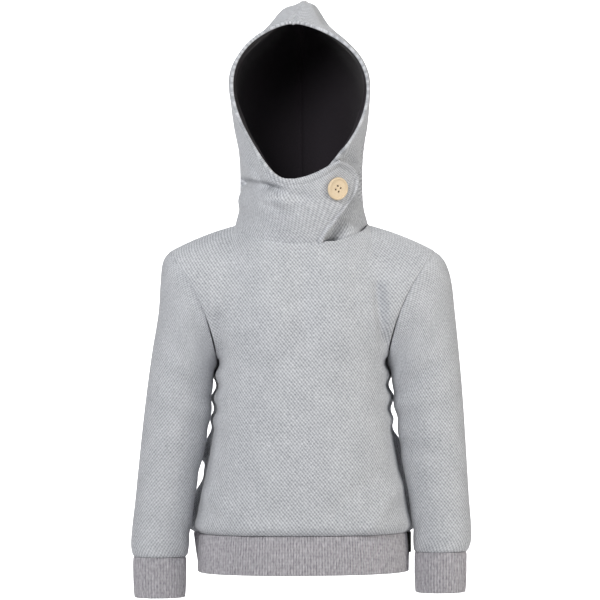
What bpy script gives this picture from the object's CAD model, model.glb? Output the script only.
"""The looks of a toddler's crossover-hood sweatshirt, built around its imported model.

Lengths in the tables are in millimetres, as a pattern cutter writes them. Meshes are in
metres. The front faces -Y, +Z is up and +X is the wearer's left.
"""
import logging
import math
from collections.abc import Callable, Sequence
from dataclasses import dataclass, field
from enum import Enum

import bpy
import numpy as np
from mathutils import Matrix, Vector


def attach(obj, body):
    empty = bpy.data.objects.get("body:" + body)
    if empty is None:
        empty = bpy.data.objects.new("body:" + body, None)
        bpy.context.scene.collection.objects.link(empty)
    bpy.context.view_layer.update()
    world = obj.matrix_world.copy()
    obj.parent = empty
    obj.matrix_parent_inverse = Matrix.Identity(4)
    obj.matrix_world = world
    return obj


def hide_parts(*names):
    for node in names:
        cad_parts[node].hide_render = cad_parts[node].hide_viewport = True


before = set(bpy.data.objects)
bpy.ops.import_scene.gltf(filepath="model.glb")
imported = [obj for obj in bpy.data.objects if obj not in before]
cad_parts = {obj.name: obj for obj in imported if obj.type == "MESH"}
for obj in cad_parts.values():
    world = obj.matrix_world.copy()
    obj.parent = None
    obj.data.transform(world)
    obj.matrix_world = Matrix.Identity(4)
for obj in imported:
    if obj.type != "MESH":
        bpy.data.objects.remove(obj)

LOG = logging.getLogger("hoodie")
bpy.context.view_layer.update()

MM = 0.001
CLOTH = 1.8
LINING_CLOTH = 1.2
RIB_CLOTH = 2.2
SEAM = 0.3
HEM_Z = -330.0
ARMPIT_Z = -140.0
FULLNESS = 2.35
BAND_HEIGHT = 42.0
BODY = "root"

Array = np.ndarray


class Face(Enum):
    """Which side of the body a panel covers."""

    FRONT = "front"
    BACK = "back"


class Arm(Enum):
    """Which of the wearer's arms a piece belongs to."""

    LEFT = 1
    RIGHT = -1


class Table:
    """Rows of named columns that are read smoothly between the rows."""

    def __init__(self, names: str, rows: Sequence[tuple[float, ...]]) -> None:
        """Keeps the rows.

        Args:
            names: Column names, the first one being the key.
            rows: One tuple of numbers for each row, in key order.
        """
        self.columns = dict(zip(names.split(), np.array(rows, float).T))
        self.key = names.split()[0]

    def read(self, name: str, at: Array) -> Array:
        """Reads a column between its rows.

        Args:
            name: The column.
            at: Key values.

        Returns:
            The column's values there, held at the ends.
        """
        keys, values = self.columns[self.key], self.columns[name]
        if keys[0] > keys[-1]:
            keys, values = keys[::-1], values[::-1]
        slopes = np.empty_like(values)
        slopes[1:-1] = (values[2:] - values[:-2]) / (keys[2:] - keys[:-2])
        slopes[0] = (values[1] - values[0]) / (keys[1] - keys[0])
        slopes[-1] = (values[-1] - values[-2]) / (keys[-1] - keys[-2])
        at = np.clip(np.asarray(at, float), keys[0], keys[-1])
        i = np.clip(np.searchsorted(keys, at) - 1, 0, len(keys) - 2)
        span = keys[i + 1] - keys[i]
        part = (at - keys[i]) / span
        rest = 1 - part
        start = values[i] * (1 + 2 * part) * rest**2 + slopes[i] * span * part * rest**2
        end = values[i + 1] * (1 + 2 * rest) * part**2 - slopes[i + 1] * span * rest * part**2
        return start + end


CENTRE_LINE = Table("z front back", (
    (-330, -90, 80), (-320, -93, 83), (-280, -92, 80), (-230, -88, 76), (-180, -84, 75), (-140, -82, 78),
    (-100, -79.5, 80.5), (-60, -73, 80.5), (-35, -66, 78), (-14, -55, 74), (14, -40, 60),
))
SIDE_LINE = Table("z half", (
    (-330, 114), (-321, 117.5), (-306, 115.5), (-290, 112), (-273, 108), (-251, 103.5), (-229, 99.5),
    (-207, 97), (-185, 95.5), (-163, 94), (-140, 93),
))
BAND_LINE = Table("z half front back", ((-372, 115.5, -91, 81), (-330, 113.3, -88.5, 78.5)))
SLEEVE_LINE = Table("s out_left out_right out_z in_left in_right in_z depth mid_y bow", (
    (0, 147, 147, -22, 93, 93, -140, 52, 0, 9),
    (0.06, 157, 153, -33, 94, 94, -146, 50, 0, 6),
    (0.14, 164, 155.5, -53, 97, 97, -153, 46, -1, 3),
    (0.26, 168, 158, -88, 98, 98, -166, 42, -1, 0),
    (0.4, 172, 165, -130, 98.5, 98.5, -184, 39, -2, 0),
    (0.55, 176, 172, -180, 103, 102, -212, 37, -4, 0),
    (0.7, 179, 178, -232, 107.5, 109.5, -246, 35, -7, 0),
    (0.85, 182, 184, -290, 116, 119, -293, 32.5, -11, 0),
    (0.96, 184.5, 189, -338, 120, 124.5, -338, 31, -15, 0),
    (1, 180.5, 187, -353, 121, 127, -353, 28.5, -16, 0),
))
CUFF_LINE = Table("z out_left out_right in_left in_right depth mid_y", (
    (-397, 177, 185, 123, 130, 26, -18), (-353, 178.5, 186, 122.5, 129, 27, -16),
))
ARM_DROP = {Arm.LEFT: -2.0, Arm.RIGHT: 2.0}
HOOD_LINE = Table("t chin_x chin_y chin_z crown_x crown_y crown_z half tuck peak side lift lean", (
    (0, 0, -55, -14, 0, 60, 14, 73, -0.1, 0, 8, 0, 0),
    (0.125, 0, -58, -5, 0, 72, 52, 68.5, -0.2, 0, 3, 0, 0),
    (0.25, 0, -61, 4, 0, 85, 98, 67.5, -0.25, 0, 0, 0, 0),
    (0.375, 0, -64, 13, 0, 94, 146, 68, -0.25, 0.2, 0, 0, 0),
    (0.5, 0, -66, 22, 0, 92, 192, 70.5, -0.2, 0.5, 0, 0, 0),
    (0.625, 0, -68, 31, 2, 70, 228, 75, -0.1, 0.9, 0, 0.02, -3),
    (0.75, -3, -70, 40, 4, 30, 248, 77, 0.05, 2.2, 0, 0.04, -5),
    (0.875, -8, -71, 48, 3, -15, 247, 77.5, 0.15, 2.4, 0, 0.06, -7),
    (1, -12, -72, 56, -8, -62, 228, 76, 0.22, 0.55, 0, 0.08, -2),
))
SIDE_BULGE = Table("z left right", (
    (-140, 3, 3),
    (-144, 5.5, 5.5),
    (-150, 5.5, 5.5),
    (-165, 4, 4),
    (-182, 5, 5),
    (-192, 5, 5),
    (-200, 3.5, 5),
    (-207, 3, 4.5),
    (-214, 3, 4.5),
    (-221, 5, 6),
    (-230, 9, 8.5),
    (-240, 9, 11),
    (-248, 8, 11.5),
    (-255, 7, 6),
    (-262, 8, 5),
    (-272, 9, 4.5),
    (-282, 9, 8),
    (-292, 9, 11),
    (-310, 8, 11),
    (-330, 7, 9),
    (-350, 6, 7),
    (-372, 0, 0),
))
FLAP_EDGE = Table("z reach", (
    (-17, 20.5), (-4, 26.5), (6, 33.5), (17, 41.8), (27.5, 49.5), (37.4, 56), (47, 60.5), (56, 62),
    (65, 59.5), (71, 54), (75, 42), (77, 34),
))
PINCH_EASE = 0.25
CAP_HEIGHT = 11.0
CAP_REACH = 16.0
CAP_RIGHT = 1.2 * CAP_REACH
PEAK_HEIGHTS = (200.0, 236.0)
PEAK_RINGS = (1.0, 0.9)
CREST_HEIGHT = 6.0
CREST_REACH = 10.0
FLAP_ONTO = (-1.05, -0.4)
FLAP_STEP = 2.4
FLAP_STAND_OFF = 6.0
UNDERLAP_DROP = 0.1
BULGE_RISE = (0, 0.18)
BULGE_FALL = (1.0, 0.4)
NECK_HEIGHTS = {Face.FRONT: -14, Face.BACK: 14}
NECK_SHARE = 0.5


def smooth(start: float, stop: float, value: Array) -> Array:
    """Gives a soft step from 0 at start to 1 at stop."""
    part = np.clip((np.asarray(value, float) - start) / (stop - start), 0, 1)
    return part * part * (3 - 2 * part)


def full(value: Array) -> Array:
    """Rounds a sine or cosine out, as filled cloth does."""
    return np.sign(value) * np.abs(value) ** (2 / FULLNESS)


def stack(x: Array, y: Array, z: Array) -> Array:
    """Joins coordinates of one shape into points."""
    return np.stack(np.broadcast_arrays(x, y, z), axis=-1).astype(float)


def unit(vectors: Array) -> Array:
    """Scales vectors to length one."""
    return vectors / np.maximum(np.linalg.norm(vectors, axis=-1, keepdims=True), 1e-12)


@dataclass(frozen=True)
class Fold:
    """A soft trough, or a ridge where its depth is below zero, seen from the front.

    Its ends are (x1, z1) and (x2, z2), and spread is half its width.
    """

    x1: float
    z1: float
    x2: float
    z2: float
    spread: float
    depth: float

    def at(self, x: Array, z: Array) -> Array:
        """Gives the fold's depth at places seen from the front.

        Args:
            x: Places across.
            z: Heights in millimetres.

        Returns:
            The depth at each place.
        """
        run = np.array([self.x2 - self.x1, self.z2 - self.z1])
        length = float(np.hypot(*run))
        along = ((x - self.x1) * run[0] + (z - self.z1) * run[1]) / length
        across = ((x - self.x1) * run[1] - (z - self.z1) * run[0]) / length
        beyond = np.maximum(0, np.maximum(-along, along - length))
        return self.depth * np.exp(-((across / self.spread) ** 2) - (beyond / (1.4 * self.spread)) ** 2)


def fold_depth(folds: Sequence[Fold], x: Array, z: Array) -> Array:
    """Adds up the folds at places seen from the front.

    Args:
        folds: The folds.
        x: Places across.
        z: Heights in millimetres.

    Returns:
        The depth at each place.
    """
    total = np.zeros(np.broadcast(x, z).shape)
    for fold in folds:
        total = total + fold.at(x, z)
    return total


def body_ring(turn: Array, z: Array, half: Array, front: Array, back: Array) -> tuple[Array, Array]:
    """Gives x and y on a body section; turn 0 is the front, a quarter turn the wearer's left.

    Args:
        turn: Turns round the body.
        z: Heights in millimetres.
        half: Half width.
        front: Front depth, below zero.
        back: Back depth.

    Returns:
        The x and the y of each point.
    """
    side = np.sign(np.sin(turn))
    behind = math.pi / 2 - np.abs(math.pi - np.abs(turn))
    bulge = np.where(side > 0, SIDE_BULGE.read("left", z), SIDE_BULGE.read("right", z))
    bulge = bulge * smooth(*BULGE_RISE, behind) * smooth(*BULGE_FALL, behind)
    depth = np.where(np.cos(turn) > 0, front, back)
    return half * full(np.sin(turn)) + side * bulge, depth * np.abs(full(np.cos(turn)))


def lower_body(turn: Array, z: Array) -> Array:
    """Gives points of the body below the armpits.

    Args:
        turn: Turns round the body.
        z: Heights in millimetres.

    Returns:
        The points.
    """
    front, back = CENTRE_LINE.read("front", z), CENTRE_LINE.read("back", z)
    x, y = body_ring(turn, z, SIDE_LINE.read("half", z), front, back)
    return stack(x, y, z)


def sleeve_point(turn: Array, s: Array, arm: Arm) -> Array:
    """Gives points of a sleeve, as on the wearer's left; turn 0 is outside, a quarter turn the front.

    Args:
        turn: Turns round the sleeve.
        s: Places along it, from the armhole at 0 to the cuff at 1.
        arm: The arm whose sizes are read.

    Returns:
        The points.
    """
    name = arm.name.lower()
    read = SLEEVE_LINE.read
    drop = ARM_DROP[arm] * s
    out_x, out_z = read(f"out_{name}", s), read("out_z", s) - drop
    in_x, in_z = read(f"in_{name}", s), read("in_z", s) - drop
    part = (1 + np.cos(turn)) / 2
    chord_x, chord_z = out_x - in_x, out_z - in_z
    length = np.hypot(chord_x, chord_z)
    bow = read("bow", s) * np.sin(turn) ** 2
    x = in_x + chord_x * part - chord_z / length * bow
    z = in_z + chord_z * part + chord_x / length * bow
    return stack(x, read("mid_y", s) - read("depth", s) * np.sin(turn), z)


ARMHOLE_AXIS = unit(np.array([114.0, 0.0, -52.0]))


def hood_point(angle: Array, t: Array) -> Array:
    """Gives points of the hood; angle 0 is the chin and a half turn the crown.

    Args:
        angle: Angles round the hood, above zero on the wearer's left.
        t: Rings, from the neck seam at 0 to the front edge at 1.

    Returns:
        The points.
    """
    read = HOOD_LINE.read
    chin = (1 + np.cos(angle)) / 2
    crown = 1 - chin
    sine = np.abs(np.sin(angle))
    pinch = read("tuck", t) * chin + read("peak", t) * crown
    width = sine * ((sine**2 + PINCH_EASE) / (1 + PINCH_EASE)) ** (pinch / 2)
    part = crown + read("lift", t) * sine**2
    middle = (read("chin_x", t) * chin**16 + read("crown_x", t) * crown**4
              + read("lean", t) * (sine * crown) ** 2)
    z = read("chin_z", t) + (read("crown_z", t) - read("chin_z", t)) * part + read("side", t) * sine**2
    x = np.sign(angle) * read("half", t) * width
    flank = (x / np.where(x < 0, CAP_RIGHT, CAP_REACH)) ** 2
    crest = CREST_HEIGHT * np.exp(-((x / CREST_REACH) ** 2))
    cap = CAP_HEIGHT * flank * np.exp(1 - flank) + crest
    z = z + cap * smooth(*PEAK_HEIGHTS, z) * smooth(*PEAK_RINGS, t)
    return stack(middle + x, read("chin_y", t) + (read("crown_y", t) - read("chin_y", t)) * part, z)


def upper_body(face: Face, u: Array, rise: Array) -> Array:
    """Gives points of the wearer's left half of a panel, from the armpit section to its top seams.

    Args:
        face: Front or back.
        u: Places across, from the centre line at 0 to the armhole at 1.
        rise: Places up, from the armpit at 0 to the top seams at 1.

    Returns:
        The points.
    """
    front = face is Face.FRONT
    quarter = math.pi / 2

    def turned(part: Array) -> Array:
        """Gives the turn at each part of the way from the centre line to the side."""
        return part * quarter if front else math.pi - part * quarter

    def top(part: Array) -> Array:
        """Gives the top edge: the neck seam, then the shoulder seam.

        Args:
            part: Places along the edge, from the centre line at 0 to the shoulder point at 1.

        Returns:
            The points there.
        """
        neck_curve = hood_point(turned(np.minimum(1, 2 * part)), np.zeros_like(part))
        neck, tip = hood_point(quarter, 0.0), sleeve_point(0.0, 0.0, Arm.LEFT)
        s = np.clip(2 * part - 1, 0, 1)
        drop = neck[2] - tip[2]
        sink = drop * (0.6 * s + 0.4 * s * s)
        seam = stack(neck[0] + (tip[0] - neck[0]) * s, neck[1] * (1 - s), neck[2] - sink)
        return np.where((part <= NECK_SHARE)[..., None], neck_curve, seam)

    def edge(part: Array) -> Array:
        """Gives the armhole seam, from the armpit up."""
        return sleeve_point((1 if front else -1) * math.pi * (1 - part), np.zeros_like(part), Arm.LEFT)

    def centre(part: Array) -> Array:
        """Gives the centre line, from the armpits' level up."""
        z = ARMPIT_Z + (NECK_HEIGHTS[face] - ARMPIT_Z) * part
        return stack(0 * z, CENTRE_LINE.read(face.value, z), z)

    def mix(a: Array, b: Array, part: Array) -> Array:
        """Mixes two sets of points."""
        return a + (b - a) * np.asarray(part)[..., None]

    def eased_top(part: Array) -> Array:
        """Gives the top edge with its corners smoothed out."""
        reach = 0.24 * np.sin(math.pi * part)
        return sum(weight / 16 * top(part + step / 3 * reach)
                   for step, weight in zip(range(-3, 4), (1, 2, 3, 4, 3, 2, 1)))

    zero, one = np.zeros_like(rise), np.ones_like(rise)
    eased = eased_top(u)
    rows = mix(lower_body(turned(u), np.full_like(u, ARMPIT_Z)), eased, rise)
    rows = rows + (top(u) - eased) * (rise ** 6)[..., None]
    columns = mix(centre(rise), edge(rise), u)
    corners = mix(mix(centre(zero), edge(zero), u), mix(centre(one), edge(one), u), rise)
    return rows + columns - corners


def flap_lift(angle: Array, t: Array) -> Array:
    """Gives how far the crossing flap stands off the hood half that lies under it.

    Args:
        angle: Angles round the hood.
        t: Rings of the hood.

    Returns:
        The distance in millimetres.
    """
    onto = smooth(*FLAP_ONTO, angle)
    arch = np.maximum(np.sin(math.pi * np.clip(t / 0.72, 0, 1)), 0.45 * smooth(0, 0.4, t))
    stand = smooth(0.05, 0.95, angle) * arch
    return FLAP_STEP * onto + FLAP_STAND_OFF * stand


def flap_point(angle: Array, t: Array) -> Array:
    """Gives points of the flap, which stands off the hood's own form.

    Args:
        angle: Angles round the hood.
        t: Rings of the hood.

    Returns:
        The points.
    """
    across = hood_point(angle + 0.02, t) - hood_point(angle - 0.02, t)
    up = hood_point(angle, t + 0.01) - hood_point(angle, t - 0.01)
    lift = np.asarray(flap_lift(angle, t))[..., None]
    return hood_point(angle, t) + unit(np.cross(across, up)) * lift


def flap_angle(t: Array) -> Array:
    """Gives the angle at which each hood ring meets the flap's free edge.

    Args:
        t: Rings of the hood.

    Returns:
        One angle for each ring.
    """
    low, high = np.full_like(t, 0.05), np.full_like(t, 1.45)
    for _ in range(40):
        middle = (low + high) / 2
        point = flap_point(middle, t)
        past = point[..., 0] > FLAP_EDGE.read("reach", point[..., 2])
        high, low = np.where(past, middle, high), np.where(past, low, middle)
    return low


def edge_spaced(count: int, length: float) -> Array:
    """Gives steps from 0 to 1 that crowd at both ends, for the roll of a seam.

    Args:
        count: How many even steps lie between the ends.
        length: The length in millimetres that the steps run over.

    Returns:
        The steps in order.
    """
    ends = np.array([0, 0.5, 1.0, 1.7, 2.6, 3.8]) / length
    inner = np.linspace(0, 1, count + 1)[1:-1]
    inner = inner[(inner > 1.25 * ends[-1]) & (inner < 1 - 1.25 * ends[-1])]
    return np.concatenate([ends, inner, 1 - ends[::-1]])


@dataclass
class Sheet:
    """A grid of points on a piece's outer face, its normals and its cloth coordinates."""

    points: Array
    closed: bool = False
    normals: Array = field(init=False)
    cloth: Array = field(init=False)

    def __post_init__(self) -> None:
        """Works out the normals and the cloth coordinates."""
        self.refresh()
        self.cloth = self.measure()

    def neighbours(self) -> tuple[Array, Array]:
        """Gives the steps along and around at each point.

        Returns:
            The steps up the rows and across the columns.
        """
        along = np.empty_like(self.points)
        along[1:-1] = self.points[2:] - self.points[:-2]
        along[0], along[-1] = self.points[1] - self.points[0], self.points[-1] - self.points[-2]
        if self.closed:
            return along, np.roll(self.points, -1, 1) - np.roll(self.points, 1, 1)
        around = np.empty_like(self.points)
        around[:, 1:-1] = self.points[:, 2:] - self.points[:, :-2]
        around[:, 0] = self.points[:, 1] - self.points[:, 0]
        around[:, -1] = self.points[:, -1] - self.points[:, -2]
        return along, around

    def refresh(self) -> None:
        """Works the normals out again, after the points have moved."""
        along, around = self.neighbours()
        self.normals = unit(np.cross(around, along))

    def flip(self) -> "Sheet":
        """Turns the normals to the other side."""
        self.normals = -self.normals
        return self

    def measure(self) -> Array:
        """Gives each point's distances across from the middle column and up the rows.

        Returns:
            Cloth coordinates in millimetres.
        """
        across = np.linalg.norm(np.diff(self.points, axis=1), axis=-1)
        u = np.concatenate([np.zeros((len(across), 1)), np.cumsum(across, axis=1)], axis=1)
        u = u - u[:, [u.shape[1] // 2]]
        up = np.linalg.norm(np.diff(self.points, axis=0), axis=-1)
        v = np.concatenate([np.zeros((1, up.shape[1])), np.cumsum(up, axis=0)])
        return np.stack([u, v - v[-1] if self.closed else v], axis=-1)

    def lay_level(self) -> None:
        """Lays the cloth's grain level, as on a panel that is cut straight."""
        middle = self.points.shape[1] // 2
        across = np.linalg.norm(np.diff(self.points[..., :2], axis=1), axis=-1)
        u = np.concatenate([np.zeros((len(across), 1)), np.cumsum(across, axis=1)], axis=1)
        line, heights = self.points[:, middle], self.points[..., 2]
        run = np.concatenate([[0.0], np.cumsum(np.linalg.norm(np.diff(line, axis=0), axis=1))])
        v = np.interp(heights, line[:, 2], run) + 1.2 * np.maximum(heights - line[-1, 2], 0)
        self.cloth = np.stack([u - u[:, [middle]], v], axis=-1)

    def to_edges(self) -> tuple[Array, Array, Array, Array]:
        """Gives each point's distance along the cloth to the first and last row and column.

        Returns:
            Distances to the first row, last row, first column and last column.
        """
        up = np.linalg.norm(np.diff(self.points, axis=0), axis=-1)
        rows = np.concatenate([np.zeros((1, up.shape[1])), np.cumsum(up, axis=0)])
        side = np.linalg.norm(np.diff(self.points, axis=1), axis=-1)
        columns = np.concatenate([np.zeros((len(side), 1)), np.cumsum(side, axis=1)], axis=1)
        return rows, rows[-1] - rows, columns, columns[:, [-1]] - columns

    def mirror(self) -> None:
        """Turns a piece for one side into one for the other."""
        self.points = self.points * np.array([-1, 1, 1])
        self.normals = self.normals * np.array([-1, 1, 1])

    def cut(self) -> tuple[float, float, float]:
        """Gives the width, length and area of the cloth laid flat, in millimetres.

        Returns:
            The width, the length and the area.
        """
        _, rows, _, columns = self.to_edges()
        across = np.linalg.norm(np.roll(self.points, -1, 1) - self.points, axis=-1).sum(axis=1)
        width = float((across if self.closed else columns[:, 0]).max())
        length = float(rows[0].max())
        p = np.concatenate([self.points, self.points[:, :1]], axis=1) if self.closed else self.points
        diagonals = np.cross(p[1:, 1:] - p[:-1, :-1], p[1:, :-1] - p[:-1, 1:])
        return width, length, min(float(np.linalg.norm(diagonals, axis=-1).sum() / 2), width * length)

    def push(self, distance: Array) -> "Sheet":
        """Moves the points out along their normals and returns the sheet."""
        self.points = self.points + self.normals * np.asarray(distance)[..., None]
        return self

    def roll(self, distance: Array, depth: float | Array = 0.9, width: float = 1.6) -> "Sheet":
        """Turns the cloth in towards a seam.

        Args:
            distance: Each point's distance to the seam.
            depth: How far the cloth sinks at the seam.
            width: How far from the seam it starts to sink.

        Returns:
            The sheet.
        """
        return self.push(-depth * np.exp(-((distance / width) ** 2)))


def grid_quads(index: Array, closed: bool) -> Array:
    """Gives the four point numbers of each cell of a numbered grid.

    Args:
        index: The point numbers, row by row.
        closed: Whether the last column meets the first.

    Returns:
        One row of four numbers for each cell.
    """
    beside = np.roll(index, -1, axis=1) if closed else index[:, 1:]
    here = index if closed else index[:, :-1]
    return np.stack([here[:-1], beside[:-1], beside[1:], here[1:]], axis=-1).reshape(-1, 4)


def shell_mesh(name: str, sheet: Sheet, thickness: float | Array, rim: float = 0.35) -> bpy.types.Object:
    """Makes a closed cloth wall with rounded edges from a sheet.

    Args:
        name: The object's name.
        sheet: Its outer face.
        thickness: Cloth thickness, one for the whole sheet or one for each point.
        rim: How far the edges bulge past the sheet.

    Returns:
        The new object.
    """
    outer = sheet.points
    inner = outer - sheet.normals * np.broadcast_to(thickness, outer.shape[:2])[..., None]
    along, around = (unit(step) for step in sheet.neighbours())
    wide = 0 if sheet.closed else 1
    pads = ((1, 1), (wide, wide), (0, 0))
    edge, along, around, cloth = (np.pad(a, pads, mode="edge")
                                  for a in ((outer + inner) / 2, along, around, sheet.cloth))
    edge[0] -= along[0] * rim
    edge[-1] += along[-1] * rim
    if wide:
        edge[:, 0] -= around[:, 0] * rim
        edge[:, -1] += around[:, -1] * rim
    count = outer.shape[0] * outer.shape[1]
    border = np.ones(edge.shape[:2], bool)
    border[1:-1, wide:border.shape[1] - wide] = False
    outside, inside = np.zeros(border.shape, int), np.zeros(border.shape, int)
    outside[~border] = np.arange(count)
    inside[~border] = count + np.arange(count)
    outside[border] = inside[border] = 2 * count + np.arange(border.sum())
    points = np.concatenate([outer.reshape(-1, 3), inner.reshape(-1, 3), edge[border]])
    laid = np.concatenate([cloth[~border], cloth[~border], cloth[border]])
    faces = np.concatenate([grid_quads(outside, sheet.closed), grid_quads(inside, sheet.closed)[:, ::-1]])
    return mesh_object(name, points, faces.tolist(), laid)


def mesh_object(name: str, points: Array, faces: Sequence[Sequence[int]], cloth: Array | None = None,
                smooth_faces: bool = True) -> bpy.types.Object:
    """Makes a mesh object.

    Args:
        name: The object's name.
        points: Its points in millimetres.
        faces: Point numbers of each face.
        cloth: Cloth coordinates of each point in millimetres.
        smooth_faces: Whether its faces are shaded smooth.

    Returns:
        The new object, with its faces pointing out.
    """
    mesh = bpy.data.meshes.new(name)
    mesh.from_pydata((np.asarray(points) * MM).tolist(), [], [list(map(int, face)) for face in faces])
    mesh.validate()
    if cloth is not None:
        layer = mesh.uv_layers.new(name="cloth")
        corners = np.empty(len(mesh.loops), dtype=np.int64)
        mesh.loops.foreach_get("vertex_index", corners)
        layer.data.foreach_set("uv", (np.asarray(cloth)[corners] * MM).ravel())
    thing = bpy.data.objects.new(name, mesh)
    bpy.context.collection.objects.link(thing)
    if faces_point_in(mesh):
        mesh.flip_normals()
    mesh.polygons.foreach_set("use_smooth", [smooth_faces] * len(mesh.polygons))
    mesh.update()
    return thing


def faces_point_in(mesh: bpy.types.Mesh) -> bool:
    """Tells whether a closed mesh's faces point in.

    Args:
        mesh: The mesh.

    Returns:
        True where they point in.
    """
    mesh.calc_loop_triangles()
    corners = np.empty(3 * len(mesh.loop_triangles), dtype=np.int64)
    mesh.loop_triangles.foreach_get("vertices", corners)
    places = np.empty(3 * len(mesh.vertices))
    mesh.vertices.foreach_get("co", places)
    a, b, c = places.reshape(-1, 3)[corners.reshape(-1, 3)].transpose(1, 0, 2)
    return float(np.einsum("ij,ij->i", a, np.cross(b, c)).sum()) < 0


def join_meshes(name: str, parts: Sequence[tuple[Array, Sequence[Sequence[int]]]],
                smooth_faces: bool = True) -> bpy.types.Object:
    """Joins loose closed parts into one object.

    Args:
        name: The object's name.
        parts: Points and faces of each part.
        smooth_faces: Whether its faces are shaded smooth.

    Returns:
        The new object.
    """
    points: list[Array] = []
    faces: list[list[int]] = []
    start = 0
    for part_points, part_faces in parts:
        points.append(np.asarray(part_points))
        faces.extend([[start + i for i in face] for face in part_faces])
        start += len(part_points)
    return mesh_object(name, np.concatenate(points), faces, smooth_faces=smooth_faces)


# Each ring of a stitch: its place along the stitch, its size and how far it stands up
STITCH_RINGS = ((0.0, 0.55, -0.5), (0.2, 0.95, 0.35), (0.5, 1.0, 0.6), (0.8, 0.95, 0.35), (1.0, 0.55, -0.5))


def stitch_part(start: Array, stop: Array, normal: Array, radius: float) -> tuple[Array, list[list[int]]]:
    """Makes one stitch, a short rounded thread that dips into the cloth at both ends.

    Args:
        start: Where it comes up.
        stop: Where it goes down.
        normal: The cloth's normal there.
        radius: The thread's radius.

    Returns:
        Its points and faces.
    """
    sides = 6
    run = stop - start
    side = unit(np.cross(run, normal))
    rings = []
    for part, size, lift in STITCH_RINGS:
        centre = start + run * part + normal * radius * lift
        angles = np.arange(sides) * 2 * math.pi / sides
        ring = np.cos(angles)[:, None] * side + np.sin(angles)[:, None] * normal
        rings.append(centre + radius * size * ring)
    faces = []
    for i in range(len(rings) - 1):
        for j in range(sides):
            k = (j + 1) % sides
            faces.append([i * sides + j, i * sides + k, (i + 1) * sides + k, (i + 1) * sides + j])
    faces.append(list(range(sides))[::-1])
    faces.append([4 * sides + j for j in range(sides)])
    return np.concatenate(rings), faces


class Slot(Enum):
    """The record's material slots."""

    KNIT = "grey_knit"
    RIB = "grey_rib"
    LINING = "dark_lining"
    TAPE = "black_tape"
    WOOD = "pale_wood"


Value = bpy.types.NodeSocket | float | tuple[float, ...]


class Shader:
    """A material's node tree and short ways of adding nodes to it."""

    def __init__(self, name: str, roughness: float, **inputs: float) -> None:
        """Makes a material with a principled surface.

        Args:
            name: The material's name.
            roughness: The surface's roughness.
            **inputs: More surface inputs, with underscores for the spaces in their names.
        """
        self.material = bpy.data.materials.new(name)
        self.material.use_nodes = True
        self.tree = self.material.node_tree
        self.surface = self.tree.nodes["Principled BSDF"]
        self.surface.inputs["Roughness"].default_value = roughness
        for key, value in inputs.items():
            self.surface.inputs[key.replace("_", " ")].default_value = value

    def node(self, kind: str, **settings: object) -> bpy.types.Node:
        """Adds a node and sets its properties.

        Args:
            kind: The node's type.
            **settings: Its properties.

        Returns:
            The new node.
        """
        made = self.tree.nodes.new(kind)
        for key, value in settings.items():
            setattr(made, key, value)
        return made

    def feed(self, socket: bpy.types.NodeSocket, value: Value) -> None:
        """Links a socket to another one, or sets it to a plain value.

        Args:
            socket: The socket to feed.
            value: A socket or a value.
        """
        if isinstance(value, bpy.types.NodeSocket):
            self.tree.links.new(value, socket)
        else:
            socket.default_value = value

    def math(self, operation: str, *values: Value) -> bpy.types.NodeSocket:
        """Adds a sum, product or other function of one to three numbers.

        Args:
            operation: The function's name.
            *values: What goes into it.

        Returns:
            The result.
        """
        made = self.node("ShaderNodeMath", operation=operation)
        for socket, value in zip(made.inputs, values):
            self.feed(socket, value)
        return made.outputs[0]

    def mix(self, part: Value, low: Value, high: Value) -> bpy.types.NodeSocket:
        """Mixes two colours.

        Args:
            part: How much of the second.
            low: The first.
            high: The second.

        Returns:
            The mixed colour.
        """
        made = self.node("ShaderNodeMix", data_type="RGBA")
        self.feed(made.inputs[0], part)
        self.feed(made.inputs[6], low)
        self.feed(made.inputs[7], high)
        return made.outputs[2]

    def noise(self, place: Value, scale: float, detail: float = 2.0) -> bpy.types.NodeSocket:
        """Adds soft noise, from 0 to 1, at a place.

        Args:
            place: The place.
            scale: How fine it is.
            detail: How many finer layers it has.

        Returns:
            The noise.
        """
        made = self.node("ShaderNodeTexNoise")
        self.feed(made.inputs["Vector"], place)
        made.inputs["Scale"].default_value = scale
        made.inputs["Detail"].default_value = detail
        return made.outputs["Fac"]

    def stretched(self, place: Value, scale: tuple[float, float, float]) -> bpy.types.NodeSocket:
        """Scales a place on each axis.

        Args:
            place: The place.
            scale: One factor for each axis.

        Returns:
            The scaled place.
        """
        made = self.node("ShaderNodeVectorMath", operation="MULTIPLY")
        self.feed(made.inputs[0], place)
        made.inputs[1].default_value = scale
        return made.outputs[0]

    def cloth(self) -> tuple[bpy.types.NodeSocket, bpy.types.NodeSocket, bpy.types.NodeSocket]:
        """Gives the cloth's own coordinates in metres, whole, across and up.

        Returns:
            The whole, the first and the second coordinate.
        """
        made = self.node("ShaderNodeUVMap", uv_map="cloth")
        parts = self.node("ShaderNodeSeparateXYZ")
        self.feed(parts.inputs[0], made.outputs[0])
        return made.outputs[0], parts.outputs[0], parts.outputs[1]

    def inside(self) -> bpy.types.NodeSocket:
        """Gives the place inside the object."""
        return self.node("ShaderNodeTexCoord").outputs["Object"]

    def paint(self, colour: Value) -> None:
        """Sets the surface's colour."""
        self.feed(self.surface.inputs["Base Color"], colour)

    def bump(self, height: Value, distance: float, strength: float = 1.0) -> None:
        """Roughens the surface by a height from 0 to 1.

        Args:
            height: The height.
            distance: How far 1 stands up, in metres.
            strength: How strongly it shows.
        """
        made = self.node("ShaderNodeBump")
        made.inputs["Strength"].default_value = strength
        made.inputs["Distance"].default_value = distance
        self.feed(made.inputs["Height"], height)
        self.feed(self.surface.inputs["Normal"], made.outputs[0])


Colour = tuple[float, float, float, float]


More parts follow.
